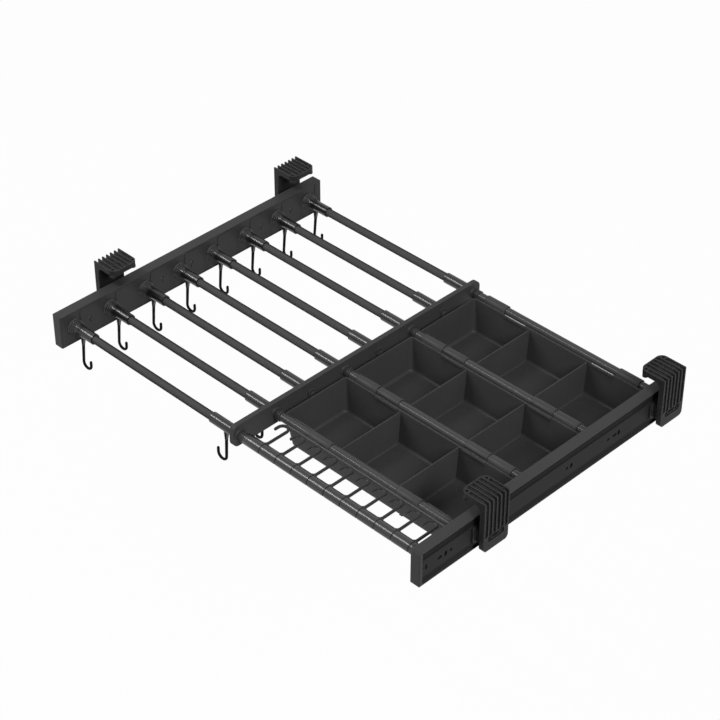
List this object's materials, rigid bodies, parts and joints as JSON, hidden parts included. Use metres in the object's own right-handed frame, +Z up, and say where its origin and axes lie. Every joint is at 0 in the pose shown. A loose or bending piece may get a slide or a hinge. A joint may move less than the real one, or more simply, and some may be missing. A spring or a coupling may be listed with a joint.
{
  "type": "pull-out trouser rack",
  "caption": "Pull-out wardrobe rack with trouser bars, hook sleeves, lift-out trays and a tie-hook strip on ball slides under a shelf.",
  "frame": {"origin": "middle of the shelf screws, on the face of the bracket flanges that meets the shelf", "axes": "+X to the right along the bars, +Y to the back along the slides, +Z up; the rack pulls out towards -Y"},
  "size_m": [0.739, 0.5, 0.1225],
  "materials": {
    "coated_metal": "satin powder coat",
    "slide_steel": "blackened zinc, satin",
    "cage_steel": "satin",
    "moulded_bracket": "fine grain",
    "moulded_trim": "fine grain",
    "moulded_tray": "leather-like grain",
    "moulded_sleeve": "semi gloss",
    "grained_bar": "grained anti-slip coat",
    "coated_tube": "gloss coat",
    "screw_steel": "blackened"
  },
  "bodies": {
    "cabinet_side": {"left_cabinet_member": "slide_steel", "right_cabinet_member": "slide_steel", "left_front_bracket": "moulded_bracket", "left_rear_bracket": "moulded_bracket", "right_front_bracket": "moulded_bracket", "right_rear_bracket": "moulded_bracket", "bracket_screws": "screw_steel"},
    "pull_out_frame": {"left_drawer_member": "slide_steel", "right_drawer_member": "slide_steel", "left_beam": "coated_metal", "right_beam": "coated_metal", "left_front_cap": "moulded_trim", "right_front_cap": "moulded_trim", "left_rear_cap": "moulded_trim", "right_rear_cap": "moulded_trim", "left_socket_strip": "moulded_trim", "right_socket_strip": "moulded_trim", "middle_beam": "coated_metal", "tie_hook_strip": "moulded_trim", "tube_sockets": "moulded_sleeve", "slide_screws": "screw_steel", "bar_screws": "screw_steel", "trouser_bar_1": "grained_bar", "trouser_bar_2": "grained_bar", "trouser_bar_3": "grained_bar", "trouser_bar_4": "grained_bar", "trouser_bar_5": "grained_bar", "trouser_bar_6": "grained_bar", "trouser_bar_7": "grained_bar", "trouser_bar_8": "grained_bar", "cross_tube_1": "coated_tube", "cross_tube_2": "coated_tube", "cross_tube_3": "coated_tube", "cross_tube_4": "coated_tube", "cross_tube_5": "coated_tube", "left_hook_sleeve_1": "moulded_sleeve", "left_hook_sleeve_2": "moulded_sleeve", "left_hook_sleeve_3": "moulded_sleeve", "left_hook_sleeve_4": "moulded_sleeve", "left_hook_sleeve_5": "moulded_sleeve", "left_hook_sleeve_6": "moulded_sleeve", "left_hook_sleeve_7": "moulded_sleeve", "left_hook_sleeve_8": "moulded_sleeve", "middle_hook_sleeve_1": "moulded_sleeve", "middle_hook_sleeve_2": "moulded_sleeve", "middle_hook_sleeve_3": "moulded_sleeve", "middle_hook_sleeve_4": "moulded_sleeve", "middle_hook_sleeve_5": "moulded_sleeve", "middle_hook_sleeve_6": "moulded_sleeve", "middle_hook_sleeve_7": "moulded_sleeve", "middle_hook_sleeve_8": "moulded_sleeve"},
    "left_intermediate": {"left_intermediate_member": "slide_steel"},
    "right_intermediate": {"right_intermediate_member": "slide_steel"},
    "left_outer_cage": {"left_outer_ball_cage": "cage_steel"},
    "right_outer_cage": {"right_outer_ball_cage": "cage_steel"},
    "left_inner_cage": {"left_inner_ball_cage": "cage_steel"},
    "right_inner_cage": {"right_inner_ball_cage": "cage_steel"},
    "front_tray": {"tray_front": "moulded_tray"},
    "middle_tray": {"tray_middle": "moulded_tray"},
    "rear_tray": {"tray_rear": "moulded_tray"}
  },
  "joints": [
    {"name": "rack_pull", "type": "slide", "parent": "cabinet_side", "child": "pull_out_frame", "axis": [0, -1, 0], "range_m": [0, 0.45]},
    {"name": "left_intermediate_run", "type": "slide", "parent": "cabinet_side", "child": "left_intermediate", "axis": [0, -1, 0], "range_m": [0, 0.225]},
    {"name": "left_outer_cage_run", "type": "slide", "parent": "cabinet_side", "child": "left_outer_cage", "axis": [0, -1, 0], "range_m": [0, 0.1125]},
    {"name": "left_inner_cage_run", "type": "slide", "parent": "cabinet_side", "child": "left_inner_cage", "axis": [0, -1, 0], "range_m": [0, 0.3375]},
    {"name": "right_intermediate_run", "type": "slide", "parent": "cabinet_side", "child": "right_intermediate", "axis": [0, -1, 0], "range_m": [0, 0.225]},
    {"name": "right_outer_cage_run", "type": "slide", "parent": "cabinet_side", "child": "right_outer_cage", "axis": [0, -1, 0], "range_m": [0, 0.1125]},
    {"name": "right_inner_cage_run", "type": "slide", "parent": "cabinet_side", "child": "right_inner_cage", "axis": [0, -1, 0], "range_m": [0, 0.3375]},
    {"name": "front_tray_lift", "type": "slide", "parent": "pull_out_frame", "child": "front_tray", "axis": [0, 0, 1], "range_m": [0, 0.06]},
    {"name": "middle_tray_lift", "type": "slide", "parent": "pull_out_frame", "child": "middle_tray", "axis": [0, 0, 1], "range_m": [0, 0.06]},
    {"name": "rear_tray_lift", "type": "slide", "parent": "pull_out_frame", "child": "rear_tray", "axis": [0, 0, 1], "range_m": [0, 0.06]}
  ],
  "couplings": [
    {"joint": "left_intermediate_run", "follows": "rack_pull", "ratio": 0.5},
    {"joint": "left_outer_cage_run", "follows": "rack_pull", "ratio": 0.25},
    {"joint": "left_inner_cage_run", "follows": "rack_pull", "ratio": 0.75},
    {"joint": "right_intermediate_run", "follows": "rack_pull", "ratio": 0.5},
    {"joint": "right_outer_cage_run", "follows": "rack_pull", "ratio": 0.25},
    {"joint": "right_inner_cage_run", "follows": "rack_pull", "ratio": 0.75}
  ]
}
